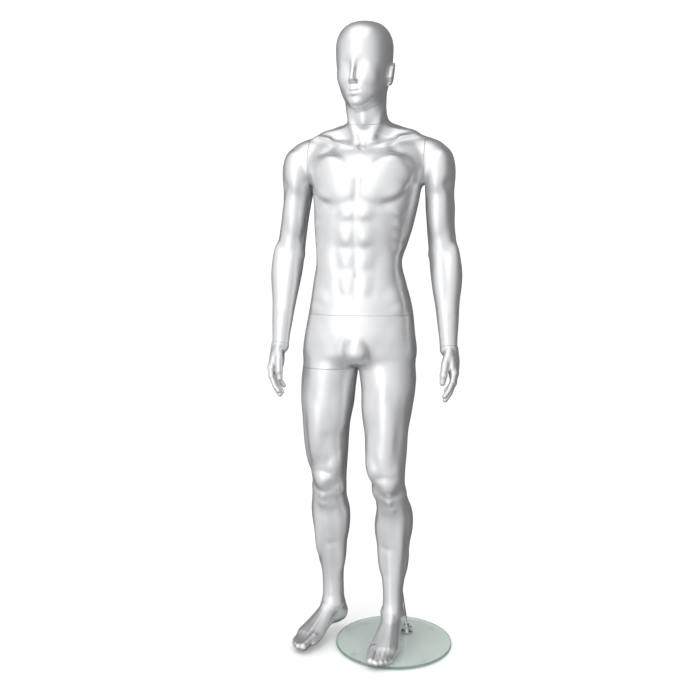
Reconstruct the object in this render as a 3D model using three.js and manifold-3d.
// Full-body male display mannequin standing on a round glass base, 1 unit = 1 mm, +Z up.
// The figure faces -Y and its left side is +X. The origin is the middle of the glass base, on the floor.
//
// The figure is a set of thin moulded shells. They come apart at flat cuts through the neck, the two shoulders,
// the waist, the top of the right thigh and the two wrists. Each cut has a closing plate on both sides and a
// steel fitting between them. One bent steel rod stands on the base and enters the back of the left calf.
import * as THREE from "three";
import { mergeVertices } from "three/addons/utils/BufferGeometryUtils.js";
import Module from "manifold-3d";

const wasm = await Module();
wasm.setup();

// ---------------------------------------------------------------- driving dimensions

const BASE_RADIUS = 177.5;
const GLASS_THICKNESS = 8;
const BUMPER_HEIGHT = 3;
const GLASS_TOP = BUMPER_HEIGHT + GLASS_THICKNESS;
const GAP = 0.3; // running clearance between two pieces that meet
const SOLE = GLASS_TOP + 0.5; // the soles stand just clear of the glass

const BODY = new THREE.Vector3(-112, 29, 0); // middle of the pelvis over the floor
const WALL = 5; // thickness of a moulded shell
const PLATE_FIT = 0.9; // between a closing plate and the shell around it
const SEAM = 0.5; // open gap at a cut

// the cuts, about the pelvis
const WAIST_Z = 1020;
const THIGH_Z = 858;
const THIGH_SPLIT_X = -5; // between the two thighs
const CHEST_X = 20; // the chest stands this far towards the left of the pelvis
const SHOULDER_HALF = 172; // from the chest's middle to an arm's cut
const SHOULDER_LOW = 1200; // an arm's cut reaches the chest only above this
const ARMPIT_Z = 1392; // an arm hangs clear of the chest below this
const ELBOW_LOW = 1060; // the elbows come closer to the body above this
const NECK_LEAN = THREE.MathUtils.degToRad(18);
const HEAD_TURN = THREE.MathUtils.degToRad(-6.5); // the head looks a little to its right
const LEFT_ARM_CLOSER = 12; // the left arm hangs this much closer to the body than the right one

// the support rod, on the base
const ROD_RADIUS = 6;
const ROD_FOOT = new THREE.Vector3(33, 62, GLASS_TOP + 1.6);
const ROD_TOP = new THREE.Vector3(-13, 56, 330);

// ---------------------------------------------------------------- solids

/** A closed three.js geometry as a solid that can be joined and cut. */
function solid(geometry, matrix = new THREE.Matrix4()) {
  const flat = geometry.index ? geometry.toNonIndexed() : geometry.clone();
  const bare = new THREE.BufferGeometry();
  bare.setAttribute("position", flat.getAttribute("position"));
  bare.applyMatrix4(matrix);
  const merged = mergeVertices(bare, 1e-3);
  return new wasm.Manifold(
    new wasm.Mesh({
      numProp: 3,
      vertProperties: merged.attributes.position.array,
      triVerts: new Uint32Array(merged.index.array),
    }),
  );
}

/** A solid back as a named mesh. */
function node(name, made, material) {
  const mesh = made.getMesh();
  const geometry = new THREE.BufferGeometry();
  geometry.setAttribute("position", new THREE.BufferAttribute(new Float32Array(mesh.vertProperties), 3));
  geometry.setIndex(new THREE.BufferAttribute(new Uint32Array(mesh.triVerts), 1));
  geometry.computeVertexNormals();
  const piece = new THREE.Mesh(geometry, material);
  piece.name = name;
  return piece;
}

const moved = (x, y, z) => new THREE.Matrix4().makeTranslation(x, y, z);

/** A box between two corners. */
function box(low, high, matrix = new THREE.Matrix4()) {
  const size = high.map((h, k) => h - low[k]);
  const middle = high.map((h, k) => (h + low[k]) / 2);
  return solid(new THREE.BoxGeometry(...size), matrix.clone().multiply(moved(...middle)));
}

/** A round bar along +Z from z0 to z1. */
function bar(radius, z0, z1, matrix = new THREE.Matrix4(), sides = 24) {
  const geometry = new THREE.CylinderGeometry(radius, radius, z1 - z0, sides);
  geometry.rotateX(Math.PI / 2);
  return solid(geometry, matrix.clone().multiply(moved(0, 0, (z0 + z1) / 2)));
}

/** The frame at a point whose +Z runs along a direction. */
function aimed(point, direction) {
  const turn = new THREE.Quaternion().setFromUnitVectors(
    new THREE.Vector3(0, 0, 1),
    direction.clone().normalize(),
  );
  return new THREE.Matrix4().compose(point, turn, new THREE.Vector3(1, 1, 1));
}

/** The hole that a round bar turns in: its flats stay clear of the bar's corners. */
function hole(radius, z0, z1, matrix, sides = 24) {
  return bar((radius + GAP) / Math.cos(Math.PI / sides), z0, z1, matrix, sides);
}

const join = (parts) => parts.reduce((whole, part) => whole.add(part));

// ---------------------------------------------------------------- lofts

/** One row of a table of sections, smoothly interpolated at a place along the loft. */
function sectionAt(table, t) {
  let i = 1;
  while (i < table.length - 1 && t > table[i][0]) i++;
  const before = table[Math.max(i - 2, 0)];
  const a = table[i - 1];
  const b = table[i];
  const after = table[Math.min(i + 1, table.length - 1)];
  const u = (t - a[0]) / (b[0] - a[0]);
  return a.map((_, k) => {
    const run = b[0] - a[0];
    const slopeA = before === a ? (b[k] - a[k]) / run : (b[k] - before[k]) / (b[0] - before[0]);
    const slopeB = after === b ? (b[k] - a[k]) / run : (after[k] - a[k]) / (after[0] - a[0]);
    const uu = u * u;
    const uuu = uu * u;
    return (
      (2 * uuu - 3 * uu + 1) * a[k] +
      (uuu - 2 * uu + u) * run * slopeA +
      (3 * uu - 2 * uuu) * b[k] +
      (uuu - uu) * run * slopeB
    );
  });
}

/**
 * A closed loft of egg-shaped sections stacked along +Z. Each row of the table is
 * [height, centre x, centre y, half width, depth in front, depth behind, squareness]. A crowned loft has its
 * sections closer together towards its ends.
 */
function loft(table, { sides, rings, inset = 0, trim = 0, crowned = 0, matrix }) {
  const low = table[0][0] + trim;
  const high = table[table.length - 1][0] - trim;
  const positions = [];
  for (let r = 0; r <= rings; r++) {
    const even = r / rings;
    const z = low + (high - low) * (even + (crowned * Math.sin(2 * Math.PI * even)) / -12);
    const [, cx, cy, half, front, back, power] = sectionAt(table, z);
    for (let s = 0; s < sides; s++) {
      const angle = (2 * Math.PI * (s + 0.5)) / sides;
      const c = Math.cos(angle);
      const d = Math.sin(angle);
      const depth = (d < 0 ? front : back) - inset;
      const x = cx + (half - inset) * Math.sign(c) * Math.abs(c) ** (2 / power);
      const y = cy + depth * Math.sign(d) * Math.abs(d) ** (2 / power);
      positions.push(x, y, z);
    }
  }
  return solid(closedRings(positions, sides, rings), matrix);
}

/** Joins stacked rings of points into one closed surface with flat ends. */
function closedRings(positions, sides, rings) {
  const index = [];
  for (let r = 0; r < rings; r++) {
    for (let s = 0; s < sides; s++) {
      const a = r * sides + s;
      const b = r * sides + ((s + 1) % sides);
      index.push(a, b, b + sides, a, b + sides, a + sides);
    }
  }
  const last = rings * sides;
  for (let s = 1; s < sides - 1; s++) {
    index.push(0, s + 1, s);
    index.push(last, last + s, last + s + 1);
  }
  const geometry = new THREE.BufferGeometry();
  geometry.setAttribute("position", new THREE.Float32BufferAttribute(positions, 3));
  geometry.setIndex(index);
  return geometry;
}

// ---------------------------------------------------------------- the figure's sections
// [height, centre x, centre y, half width, depth in front, depth behind, squareness], about the pelvis

const TRUNK = [
  [840, -4, 10, 84, 46, 66, 2],
  [856, -4, 8, 136, 72, 96, 2.1],
  [880, -3, 5, 164, 88, 114, 2.2],
  [915, -2, 2, 173, 95, 119, 2.3],
  [960, -1, 0, 167, 97, 104, 2.3],
  [1015, 2, 0, 159, 96, 86, 2.3],
  [1060, 2, 0, 151, 97, 78, 2.3],
  [1110, -1, 0, 140, 98, 74, 2.3],
  [1175, -3, 0, 128, 98, 77, 2.3],
  [1227, 4, 0, 137, 104, 84, 2.3],
  [1275, 10, 0, 146, 112, 94, 2.3],
  [1345, 17, 2, 155, 124, 106, 2.3],
  [1400, 19, 4, 164, 124, 112, 2.3],
  [1440, 20, 8, 182, 114, 110, 2.2],
  [1475, 20, 12, 196, 96, 98, 2.1],
  [1505, 20, 17, 200, 70, 82, 2],
  [1531, 20, 22, 186, 44, 64, 2],
  [1552, 20, 25, 140, 34, 54, 2],
  [1568, 19, 25, 90, 40, 54, 2],
];

const NECK = [
  [1500, 20, 32, 62, 62, 66, 2],
  [1560, 20, 26, 62, 62, 62, 2],
  [1600, 17, 16, 59, 60, 60, 2],
  [1650, 13, 8, 60, 58, 62, 2],
  [1690, 12, 4, 58, 50, 66, 2],
];

const LEG_RIGHT = [
  [92, -90, 28, 37, 46, 46, 2],
  [130, -90, 28, 34, 36, 38, 2],
  [175, -91, 28, 34, 34, 36, 2],
  [209, -92, 27, 36, 36, 38, 2],
  [261, -94, 25, 44, 40, 46, 2],
  [312, -96, 23, 51, 44, 56, 2],
  [364, -98, 20, 57, 47, 66, 2],
  [405, -99, 18, 59, 48, 71, 2],
  [450, -99, 12, 54, 51, 62, 2],
  [490, -96, 5, 52, 56, 52, 2.1],
  [522, -97, 2, 54, 61, 50, 2.2],
  [555, -98, 2, 57, 61, 56, 2.1],
  [600, -99, 3, 61, 68, 64, 2],
  [643, -103, 5, 66, 74, 70, 2],
  [693, -104, 5, 73, 79, 76, 2],
  [742, -102, 6, 81, 83, 82, 2],
  [800, -99, 6, 84, 85, 88, 2],
  [850, -93, 4, 85, 84, 100, 2],
  [900, -84, 2, 84, 80, 104, 2],
];

const LEG_LEFT = [
  [92, 108, -24, 33, 46, 46, 2],
  [130, 108, -22, 31, 34, 38, 2],
  [165, 107, -18, 31, 33, 36, 2],
  [209, 107, -12, 36, 36, 38, 2],
  [261, 106, -6, 44, 40, 46, 2],
  [312, 105, -2, 51, 44, 56, 2],
  [364, 106, -3, 56, 48, 66, 2],
  [400, 108, -8, 54, 48, 70, 2],
  [440, 105, -16, 51, 50, 64, 2],
  [480, 98, -30, 49, 52, 56, 2.1],
  [520, 93, -40, 51, 57, 52, 2.2],
  [560, 87, -42, 58, 58, 58, 2.1],
  [600, 84, -38, 61, 64, 64, 2],
  [643, 84, -31, 63, 70, 70, 2],
  [693, 87, -22, 69, 76, 76, 2],
  [742, 87, -14, 77, 81, 82, 2],
  [800, 88, -5, 83, 84, 88, 2],
  [850, 83, 0, 86, 82, 100, 2],
  [900, 78, 2, 84, 80, 104, 2],
];

// an arm hangs from [0, 0, shoulder height]; centre x runs outwards from the chest's middle
const ARM = [
  [905, 262, -30, 26, 20, 20, 2],
  [945, 260, -26, 27, 21, 21, 2],
  [1000, 257, -17, 32, 27, 26, 2],
  [1060, 253, -6, 37, 34, 33, 2],
  [1110, 250, 4, 43, 40, 38, 2],
  [1150, 246, 10, 46, 42, 40, 2],
  [1195, 239, 16, 43, 40, 40, 2],
  [1250, 232, 18, 42, 44, 44, 2],
  [1320, 222, 18, 42, 48, 50, 2],
  [1380, 213, 17, 45, 55, 56, 2],
  [1430, 204, 16, 50, 60, 60, 2],
  [1470, 194, 16, 54, 58, 60, 2],
  [1500, 184, 18, 52, 48, 52, 2],
  [1522, 174, 20, 42, 34, 38, 2],
  [1536, 164, 22, 24, 18, 20, 2],
];

const HEAD = [
  [1614, 14, -62, 14, 16, 24, 2],
  [1626, 14, -46, 34, 38, 40, 2],
  [1648, 14, -24, 56, 64, 60, 2.1],
  [1675, 14, -14, 68, 78, 78, 2.1],
  [1705, 14, -10, 74, 84, 92, 2.1],
  [1740, 14, -8, 79, 88, 102, 2.1],
  [1775, 14, -6, 82, 92, 106, 2],
  [1805, 14, -4, 81, 90, 102, 2],
  [1835, 14, -2, 69, 76, 86, 2],
  [1855, 14, 0, 46, 50, 58, 2],
  [1866, 14, 2, 12, 12, 14, 2],
];

// along the foot from the heel's back; [run, centre x, half width, bottom, top], above the sole
const FOOT = [
  [0, 0, 14, 22, 54],
  [12, 0, 27, 11, 76],
  [32, 0, 31, 8, 100],
  [58, 0, 32, 12, 112],
  [90, 1, 32, 18, 92],
  [122, 2, 36, 16, 72],
  [152, 3, 41, 7, 56],
  [180, 3, 45, 1, 44],
  [206, 2, 45, 0, 35],
  [232, 0, 40, 0, 28],
  [252, -3, 28, 1, 23],
  [262, -4, 13, 5, 17],
];
const HEAD_AXIS = new THREE.Vector2(14, 4);
const ANKLE_RUN = 55; // from the heel's back to the ankle's axis

// ---------------------------------------------------------------- hands and feet

// [ankle x, ankle y, turn of the toes from -Y towards -X in degrees, side]
const FOOT_RIGHT = [-90, 28, 22, -1];
const FOOT_LEFT = [108, -22, 6, 1];

/** A foot, its sole flat, below an ankle. */
function foot([ankleX, ankleY, headingDegrees, side], { sides, rings, inset }) {
  const positions = [];
  const first = FOOT[0][0] + inset;
  const last = FOOT[FOOT.length - 1][0] - inset;
  for (let r = 0; r <= rings; r++) {
    const run = first + ((last - first) * r) / rings;
    const [, cx, half, bottom, top] = sectionAt(FOOT, run);
    const tall = (top - bottom) / 2 - inset;
    for (let s = 0; s < sides; s++) {
      const angle = (2 * Math.PI * (s + 0.5)) / sides;
      const x = side * cx + (half - inset) * Math.cos(angle);
      const flat = Math.sin(angle) < 0 ? 0.75 : 1;
      const z = (top + bottom) / 2 + tall * Math.sign(Math.sin(angle)) * Math.abs(Math.sin(angle)) ** flat;
      positions.push(x, ANKLE_RUN - run, z);
    }
  }
  const heading = THREE.MathUtils.degToRad(-headingDegrees);
  const place = moved(ankleX, ankleY, SOLE).multiply(new THREE.Matrix4().makeRotationZ(heading));
  const outward = closedRings(positions, sides, rings);
  return solid(outward, place);
}

/** A finger: a tapering loft along a path, with a rounded tip. */
function finger(points, radius) {
  const sides = 6;
  const path = points.map((point) => new THREE.Vector3(...point));
  const last = path.length - 1;
  const tip = path[last].clone().addScaledVector(path[last].clone().sub(path[last - 1]).normalize(), 5);
  const centres = [...path, tip];
  const rings = centres.flatMap((centre, k) => {
    const ahead = centres[Math.min(k + 1, last + 1)];
    const along = ahead.clone().sub(centres[Math.max(k - 1, 0)]).normalize();
    const side = new THREE.Vector3(0, 1, 0).addScaledVector(along, -along.y).normalize();
    const over = side.clone().cross(along);
    const r = k > last ? radius * 0.45 : radius * (1 - 0.1 * k);
    return Array.from({ length: sides }, (_, s) => {
      const angle = (2 * Math.PI * s) / sides;
      const point = centre.clone().addScaledVector(over, r * Math.cos(angle));
      return point.addScaledVector(side, r * Math.sin(angle)).toArray();
    }).flat();
  });
  return solid(closedRings(rings, sides, last + 1));
}

/** The frame at a wrist's cut that stands upright: +Z runs up the forearm and +X across the figure. */
function handFrame(cut) {
  const origin = new THREE.Vector3().setFromMatrixPosition(cut);
  const up = new THREE.Vector3().setFromMatrixColumn(cut, 2).negate();
  const across = new THREE.Vector3(1, 0, 0).addScaledVector(up, -up.x).normalize();
  const back = up.clone().cross(across);
  return new THREE.Matrix4().makeBasis(across, back, up).setPosition(origin);
}

// the palm's sections below the wrist: [height, centre x, half thickness, half width]
const PALM = [
  [-100, 13, 10, 37],
  [-84, 17, 14, 42],
  [-52, 12, 18, 38],
  [-22, 3, 21, 26],
  [8, 0, 25, 20],
];

// each finger: place across the palm, height of its knuckle, radius and length
const FINGERS = [
  [-31, -84, 9.5, 1],
  [-10, -88, 10, 1.1],
  [11, -87, 9.5, 1.02],
  [30, -80, 8.5, 0.82],
];
const THUMB = [
  [0, -17, -22],
  [-9, -36, -56],
  [-14, -43, -88],
  [-17, -40, -114],
];

/** A relaxed hand below a wrist, its thumb in front and its palm towards the thigh. */
function hand(side, cut) {
  const at = (x, y, z) => [side * x, y, z];
  const fingers = FINGERS.map(([y, z, radius, length]) =>
    finger(
      [
        at(16, y * 0.9, z + 16),
        at(11, y, z - 20 * length),
        at(0, y * 0.95, z - 46 * length),
        at(-14, y * 0.9, z - 64 * length),
      ],
      radius,
    ),
  );
  const thumb = finger(
    THUMB.map((point) => at(...point)),
    11,
  );
  const sides = 10;
  const rings = PALM.flatMap(([z, cx, thick, wide]) =>
    Array.from({ length: sides }, (_, s) => {
      const angle = (2 * Math.PI * (s + 0.5)) / sides;
      return [side * cx + thick * Math.cos(angle), wide * Math.sin(angle), z];
    }).flat(),
  );
  const palm = solid(closedRings(rings, sides, PALM.length - 1));
  return join([palm, thumb, ...fingers]).transform(handFrame(cut).elements);
}

// ---------------------------------------------------------------- the whole figure

const mirrored = (table) => table.map(([z, cx, ...rest]) => [z, -cx, ...rest]);
const movedAcross = (table, shift) => table.map(([z, cx, ...rest]) => [z, cx + shift(z), ...rest]);

const ARM_RIGHT = movedAcross(mirrored(ARM), () => CHEST_X);
const ARM_LEFT = movedAcross(
  ARM,
  (z) => CHEST_X - LEFT_ARM_CLOSER * THREE.MathUtils.smoothstep(1420 - z, 0, 170),
);
const armTable = (side) => (side < 0 ? ARM_RIGHT : ARM_LEFT);

/** How finely a loft is faceted; a finish of 1 is the outer skin. */
const faceting = (inset, finish) => (sides, rings) => ({
  sides: 2 * Math.round((sides * finish) / 2),
  rings: Math.round(rings * finish),
  inset,
  trim: 0,
});

/** The lofts of the figure, grown inwards by an inset and joined; the hands are left out. */
function figure(inset, finish) {
  const detail = faceting(inset, finish);
  const ends = inset > 0 ? WALL : 0;
  const headTurn = moved(HEAD_AXIS.x, HEAD_AXIS.y, 0)
    .multiply(new THREE.Matrix4().makeRotationZ(HEAD_TURN))
    .multiply(moved(-HEAD_AXIS.x, -HEAD_AXIS.y, 0));
  return join([
    loft(TRUNK, { ...detail(24, 16), trim: ends }),
    loft(NECK, detail(14, 4)),
    loft(HEAD, { ...detail(16, 11), trim: ends * 1.6, crowned: 1, matrix: headTurn }),
    loft(LEG_RIGHT, detail(12, 15)),
    loft(LEG_LEFT, detail(12, 15)),
    loft(ARM_RIGHT, detail(12, 12)),
    loft(ARM_LEFT, detail(12, 12)),
    foot(FOOT_RIGHT, detail(10, 9)),
    foot(FOOT_LEFT, detail(10, 9)),
  ]);
}

const outer = figure(0, 1);
const inner = figure(WALL, 0.6);
const core = figure(WALL + PLATE_FIT, 0.6);

// ---------------------------------------------------------------- the cuts

// each cut is a frame whose origin is in the middle of the cut and whose +Z points into the piece that comes off
const CUT = {
  waist: moved(2, 4, WAIST_Z),
  thigh: aimed(new THREE.Vector3(-93, -2, THIGH_Z), new THREE.Vector3(0, 0, -1)),
  neck: aimed(
    new THREE.Vector3(17, 22, 1588),
    new THREE.Vector3(0, -Math.sin(NECK_LEAN), Math.cos(NECK_LEAN)),
  ),
  right_shoulder: aimed(
    new THREE.Vector3(CHEST_X - SHOULDER_HALF, 16, 1464),
    new THREE.Vector3(-1, 0, 0),
  ),
  left_shoulder: aimed(
    new THREE.Vector3(CHEST_X + SHOULDER_HALF, 16, 1464),
    new THREE.Vector3(1, 0, 0),
  ),
  right_wrist: wristCut(-1),
  left_wrist: wristCut(1),
};

/** A wrist's cut lies square across the end of the forearm. */
function wristCut(side) {
  const [high, low] = [980, 930].map((z) => {
    const [, x, y] = sectionAt(armTable(side), z);
    return new THREE.Vector3(x, y, z);
  });
  return aimed(low, low.clone().sub(high));
}

/** The space past a cut, from a distance along its axis, in a box that holds one piece. */
const past = (name, { from = 0, wide = 110, far = 400 }) =>
  box([-wide, -wide, from], [wide, wide, far], CUT[name]);

const HUGE = 1000;
const slab = (z0, z1) => box([-HUGE, -HUGE, z0], [HUGE, HUGE, z1]);
const shoulderBox = (side, from) => {
  const face = CHEST_X + side * (SHOULDER_HALF + from);
  return box(
    [Math.min(face, side * HUGE), -HUGE, SHOULDER_LOW],
    [Math.max(face, side * HUGE), HUGE, 1700],
  );
};
const rightThighBox = (top) => box([-400, -400, -50], [THIGH_SPLIT_X, 400, top]);

/** The inner sides of the upper arms that the upright cuts take off below the armpits. */
function shavings() {
  const skin = faceting(0, 1);
  return loft(ARM_RIGHT, skin(12, 12))
    .add(loft(ARM_LEFT, skin(12, 12)))
    .intersect(slab(SHOULDER_LOW - 10, ARMPIT_Z))
    .subtract(loft(TRUNK, skin(24, 16)));
}
const shaved = shavings();

/** The six hollow mouldings. */
function shells() {
  const half = SEAM / 2;
  const armBody = (side) =>
    outer
      .intersect(loftSpace(side))
      .intersect(shoulderBox(side, half).add(armSpace(side)))
      .subtract(past(side < 0 ? "right_wrist" : "left_wrist", { from: -half }));
  const trunk = outer.subtract(armSpace(-1)).subtract(armSpace(1));
  const torso = trunk
    .intersect(slab(WAIST_Z + half, 2000))
    .subtract(shoulderBox(-1, -half))
    .subtract(shoulderBox(1, -half))
    .subtract(past("neck", { from: -half, wide: 160 }))
    .subtract(shaved);
  const lower = trunk.intersect(slab(-50, WAIST_Z - half));
  return {
    torso_shell: torso,
    head_shell: outer.intersect(past("neck", { from: half, wide: 160 })),
    lower_body_shell: lower.subtract(rightThighBox(THIGH_Z + half)),
    right_leg_shell: lower.intersect(rightThighBox(THIGH_Z - half)),
    right_arm_shell: armBody(-1),
    left_arm_shell: armBody(1),
  };
}

/** The space beside the body that holds only an arm, below the cut at its shoulder. */
function armSpace(side) {
  const beside = (edge, z0, z1) =>
    box([Math.min(side * edge, side * HUGE), -HUGE, z0], [Math.max(side * edge, side * HUGE), HUGE, z1]);
  return beside(192, 700, ELBOW_LOW + 1).add(beside(170, ELBOW_LOW, SHOULDER_LOW + 1));
}

/** One side of the figure. */
function loftSpace(side) {
  return box([Math.min(0, side * HUGE), -HUGE, 700], [Math.max(0, side * HUGE), HUGE, 1700]);
}

// ---------------------------------------------------------------- fittings at the cuts

// plate: thickness of the closing plates; hub: radius of the turning stud's disc; key: half the width of its
// square key; reach: how far the key goes into the piece that comes off
const FITTING = {
  waist: { plate: 12, hub: 46, key: 15, reach: 26, wide: 190 },
  thigh: { plate: 10, hub: 32, key: 12, reach: 9, wide: 110 },
  neck: { plate: 10, hub: 24, key: 9, reach: 18, wide: 110 },
  right_shoulder: { plate: 10, hub: 30, key: 11, reach: 22, wide: 110 },
  left_shoulder: { plate: 10, hub: 30, key: 11, reach: 22, wide: 110 },
};
const HUB_THICKNESS = 5;
const SOCKET_THICKNESS = 4;
const BOLT_RADIUS = 5;

/** The five pieces between two mouldings: two closing plates, a turning stud, its bolt and a keyed socket. */
function fitting(name) {
  const { plate, hub, key, reach, wide } = FITTING[name];
  const frame = CUT[name];
  const face = SEAM / 2;
  const room = name === "thigh" ? core.intersect(box([-400, -400, 0], [-14, 400, 1000])) : core;
  const closing = (z0, z1) => room.intersect(box([-wide, -wide, z0], [wide, wide, z1], frame));
  const square = (half, z0, z1) => box([-half, -half, z0], [half, half, z1], frame);
  const round = (radius, z0, z1, sides = 16) => bar(radius, z0, z1, frame, sides);
  const socketRadius = key * 2.1;
  const innerPlate = closing(-face - plate, -face)
    .subtract(hole(hub, -face - HUB_THICKNESS - GAP, 1, frame))
    .subtract(hole(BOLT_RADIUS, -face - plate - 1, 0, frame, 12))
    .subtract(shaved);
  const stud = round(hub, -face - HUB_THICKNESS, -face)
    .add(square(key, -face - 1, reach))
    .subtract(hole(BOLT_RADIUS, -face - HUB_THICKNESS - 1, reach - 4, frame, 12));
  const headTop = -face - plate - GAP;
  const bolt = round(BOLT_RADIUS, headTop - 1, reach - 6, 12).add(
    round(BOLT_RADIUS * 1.9, headTop - 7, headTop, 6),
  );
  const outerPlate = closing(face, face + plate)
    .subtract(square(key + 1, 0, plate + 2))
    .subtract(round(socketRadius + GAP, face + plate - SOCKET_THICKNESS - GAP, plate + 2));
  const socket = round(socketRadius, face + plate - SOCKET_THICKNESS, face + plate).subtract(
    square(key + GAP, 0, plate + 2),
  );
  return { innerPlate, stud, bolt, outerPlate, socket };
}

const WRIST = { plate: 16, sleeve: 7, flange: 10, key: 4, peg: 5.4, depth: 14 };

/** The four pieces at a wrist: the plate in the forearm, a turning sleeve, a square peg and the drilled hand. */
function wrist(name, side) {
  const { plate, sleeve, flange, key, peg, depth } = WRIST;
  const frame = CUT[name];
  const face = SEAM / 2;
  const forearm = box([-34, -34, -face - plate], [34, 34, -face], frame);
  const round = (radius, z0, z1, sides = 12) => bar(radius, z0, z1, frame, sides);
  const square = (half, z0, z1) => box([-half, -half, z0], [half, half, z1], frame);
  const shank = round(sleeve, -face - plate, -face).add(round(flange, -face - 2.5, -face));
  return {
    plate: core
      .intersect(forearm)
      .subtract(hole(sleeve, -plate - 2, 0, frame, 16))
      .subtract(hole(flange, -face - 2.5 - GAP, 0, frame, 16)),
    sleeve: shank.subtract(square(key + GAP, -plate - 2, 1)),
    peg: square(key, -depth, 0.1).add(round(peg, 0, depth, 12)),
    hand: hand(side, frame)
      .intersect(box([-90, -90, face], [90, 90, 260], frame))
      .subtract(hole(peg, 0, depth + GAP, frame, 12)),
  };
}

// ---------------------------------------------------------------- the base and the rod

/** A turned piece about +Z from a closed half outline of [radius, height] points. */
function turned(outline, centre, sides) {
  const points = [...outline, outline[0]].map(([r, z]) => new THREE.Vector2(r, z));
  const geometry = new THREE.LatheGeometry(points, sides);
  geometry.rotateX(Math.PI / 2);
  return solid(geometry, moved(centre.x, centre.y, 0));
}

const ON_BASE = new THREE.Vector3(0, 0, 0);
const BUMPER_RING = 150;
const ROD_AIM = ROD_TOP.clone().sub(ROD_FOOT);
const rodFrame = aimed(ROD_FOOT, ROD_AIM);
const ROD_LENGTH = ROD_AIM.length();

const FLANGE = { plate: 18, plateTop: 16, collar: 10, top: 36 };
const SCREW_HEIGHT = 27;
const SCREW_ANGLE = THREE.MathUtils.degToRad(-28); // the knob points forwards and to the figure's left

/** The frame of the thumb screw; its +Z runs out of the collar. */
function screwFrame() {
  const along = new THREE.Vector3(Math.cos(SCREW_ANGLE), Math.sin(SCREW_ANGLE), 0);
  const onAxis = ROD_FOOT.clone().addScaledVector(ROD_AIM, (SCREW_HEIGHT - ROD_FOOT.z) / ROD_AIM.z);
  return aimed(onAxis, along);
}

function baseSolids() {
  const b = 1; // the glass edge's bevel
  const glass = turned(
    [
      [0, BUMPER_HEIGHT],
      [BASE_RADIUS - b, BUMPER_HEIGHT],
      [BASE_RADIUS, BUMPER_HEIGHT + b],
      [BASE_RADIUS, GLASS_TOP - b],
      [BASE_RADIUS - b, GLASS_TOP],
      [0, GLASS_TOP],
    ],
    ON_BASE,
    48,
  ).subtract(bar(5.5, 0, 20, moved(ROD_FOOT.x, ROD_FOOT.y, 0), 16));
  const bumper = (x, y) =>
    turned(
      [
        [0, 0],
        [7, 0],
        [8, 1],
        [8, BUMPER_HEIGHT - GAP],
        [0, BUMPER_HEIGHT - GAP],
      ],
      new THREE.Vector3(x, y, 0),
      12,
    );
  const place = moved(ROD_FOOT.x, ROD_FOOT.y, 0);
  const gasketTop = GLASS_TOP + GAP + 1;
  const gasket = bar(FLANGE.plate, GLASS_TOP + GAP, gasketTop, place, 28).subtract(
    bar(5.5, 0, 20, place, 16),
  );
  const boreAlongRod = bar(ROD_RADIUS + GAP, -2, 60, rodFrame, 20);
  const flange = bar(FLANGE.plate, gasketTop + GAP, FLANGE.plateTop, place, 28)
    .add(bar(FLANGE.collar, 2, FLANGE.top - ROD_FOOT.z, rodFrame, 24))
    .subtract(boreAlongRod)
    .subtract(hole(3, 0, 30, screwFrame(), 12));
  const rod = bar(ROD_RADIUS, 0, ROD_LENGTH, rodFrame, 20)
    .intersect(slab(gasketTop + GAP, 400))
    .subtract(bar(4 + GAP, 0, GLASS_TOP + 16, place, 12));
  const bolt = bar(4, 2, GLASS_TOP + 14, place, 12).add(bar(9, 0.6, 2.6, place, 16));
  const screw = bar(3, ROD_RADIUS + 3 * GAP, 16, screwFrame(), 12).add(knob());
  return { glass, bumper, gasket, flange, rod, bolt, screw };
}

/** The thumb screw's fluted knob. */
function knob() {
  const lobes = 6;
  const outline = new THREE.Shape();
  const steps = lobes * 3;
  for (let k = 0; k <= steps; k++) {
    const angle = (2 * Math.PI * k) / steps;
    const radius = 7 + 0.7 * Math.cos(lobes * angle);
    const point = [radius * Math.cos(angle), radius * Math.sin(angle)];
    if (k === 0) outline.moveTo(...point);
    else if (k < steps) outline.lineTo(...point);
  }
  outline.closePath();
  const geometry = new THREE.ExtrudeGeometry(outline, { depth: 7, bevelEnabled: false });
  return solid(geometry, screwFrame().multiply(moved(0, 0, 13)));
}

const SOCKET_TUBE = { from: 276, to: 322, radius: 9 };

/** The tube in the calf that slides over the rod, and the block that holds it, in the figure's own place. */
function calfSolids() {
  const frame = moved(-BODY.x, -BODY.y, -BODY.z).multiply(rodFrame);
  const { from, to, radius } = SOCKET_TUBE;
  const tube = bar(radius, from, to + 4, frame, 20).subtract(bar(ROD_RADIUS + GAP, from - 1, to, frame, 20));
  const block = core
    .intersect(slab(296, 322))
    .intersect(box([20, -200, 0], [300, 200, 400]))
    .subtract(bar(radius + GAP, 0, 400, frame, 20));
  const passage = bar(ROD_RADIUS + 2, -40, to + 12, frame, 20);
  return { tube, block, passage };
}

// ---------------------------------------------------------------- materials

const silver = new THREE.MeshStandardMaterial({ color: 0xc9cacd, roughness: 0.28, metalness: 0.75 });
const resin = new THREE.MeshStandardMaterial({ color: 0x8f9195, roughness: 0.6, metalness: 0.1 });
const wood = new THREE.MeshStandardMaterial({ color: 0xc8a878, roughness: 0.75, metalness: 0 });
const steel = new THREE.MeshStandardMaterial({ color: 0xb4b6b8, roughness: 0.32, metalness: 1 });
const zinc = new THREE.MeshStandardMaterial({ color: 0x9ea2a6, roughness: 0.45, metalness: 1 });
const chrome = new THREE.MeshStandardMaterial({ color: 0xdadcde, roughness: 0.08, metalness: 1 });
const glassy = new THREE.MeshStandardMaterial({ color: 0xcfe4da, roughness: 0.05, metalness: 0 });
const rubber = new THREE.MeshStandardMaterial({ color: 0x1d1d1e, roughness: 0.85, metalness: 0 });
const clearRubber = new THREE.MeshStandardMaterial({ color: 0xd8dcd8, roughness: 0.5, metalness: 0 });

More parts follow.
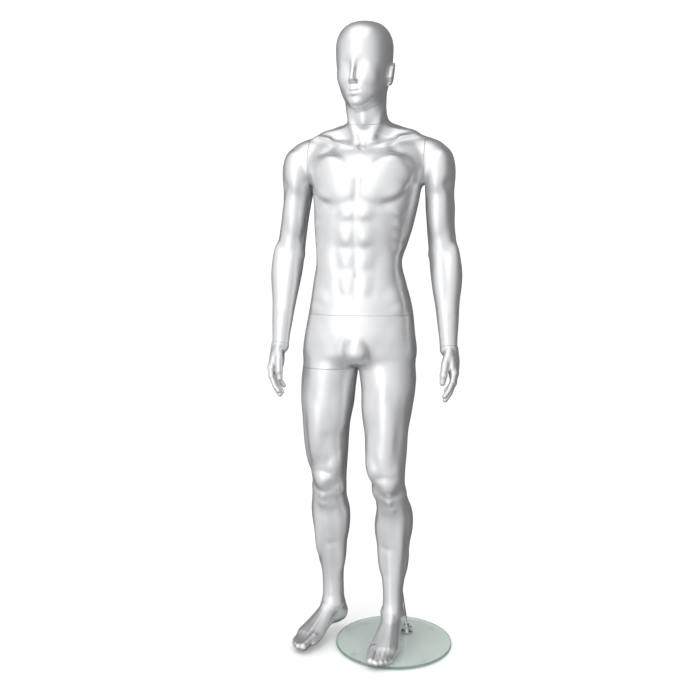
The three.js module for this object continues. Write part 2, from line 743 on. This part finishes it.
// ---------------------------------------------------------------- the object

/** The base and everything fixed to it, in the row's own frame. */
function baseGroup() {
  const group = new THREE.Group();
  const { glass, bumper, gasket, flange, rod, bolt, screw } = baseSolids();
  group.add(node("base_glass", glass, glassy));
  group.add(node("base_bumper_centre", bumper(0, 0), clearRubber));
  for (let k = 1; k <= 4; k++) {
    const angle = Math.PI * (0.5 * k - 0.25);
    const foot = bumper(BUMPER_RING * Math.cos(angle), BUMPER_RING * Math.sin(angle));
    group.add(node(`base_bumper_${k}`, foot, clearRubber));
  }
  group.add(node("rod_gasket", gasket, rubber));
  group.add(node("rod_flange", flange, chrome));
  group.add(node("rod_bolt", bolt, zinc));
  group.add(node("support_rod", rod, steel));
  group.add(node("rod_thumb_screw", screw, chrome));
  return group;
}

/** The figure and the fittings inside it, about the middle of the pelvis. */
function figureGroup() {
  const group = new THREE.Group();
  group.position.copy(BODY);
  const { tube, block, passage } = calfSolids();
  for (const [name, body] of Object.entries(shells())) {
    const hollow = body.subtract(inner);
    const opened = name === "lower_body_shell" ? hollow.subtract(passage) : hollow;
    group.add(node(name, opened, silver));
  }
  group.add(node("calf_socket_tube", tube, steel));
  group.add(node("calf_block", block, wood));
  for (const name of Object.keys(FITTING)) {
    const { innerPlate, stud, bolt, outerPlate, socket } = fitting(name);
    group.add(node(`${name}_inner_plate`, innerPlate, resin));
    group.add(node(`${name}_stud`, stud, steel));
    group.add(node(`${name}_bolt`, bolt, zinc));
    group.add(node(`${name}_outer_plate`, outerPlate, resin));
    group.add(node(`${name}_socket`, socket, steel));
  }
  for (const [side, word] of [
    [-1, "right"],
    [1, "left"],
  ]) {
    const { plate, sleeve, peg, hand } = wrist(`${word}_wrist`, side);
    group.add(node(`${word}_wrist_plate`, plate, resin));
    group.add(node(`${word}_wrist_sleeve`, sleeve, steel));
    group.add(node(`${word}_hand_peg`, peg, steel));
    group.add(node(`${word}_hand`, hand, silver));
  }
  return group;
}

const mannequin = new THREE.Group();
mannequin.add(baseGroup(), figureGroup());
export default mannequin;
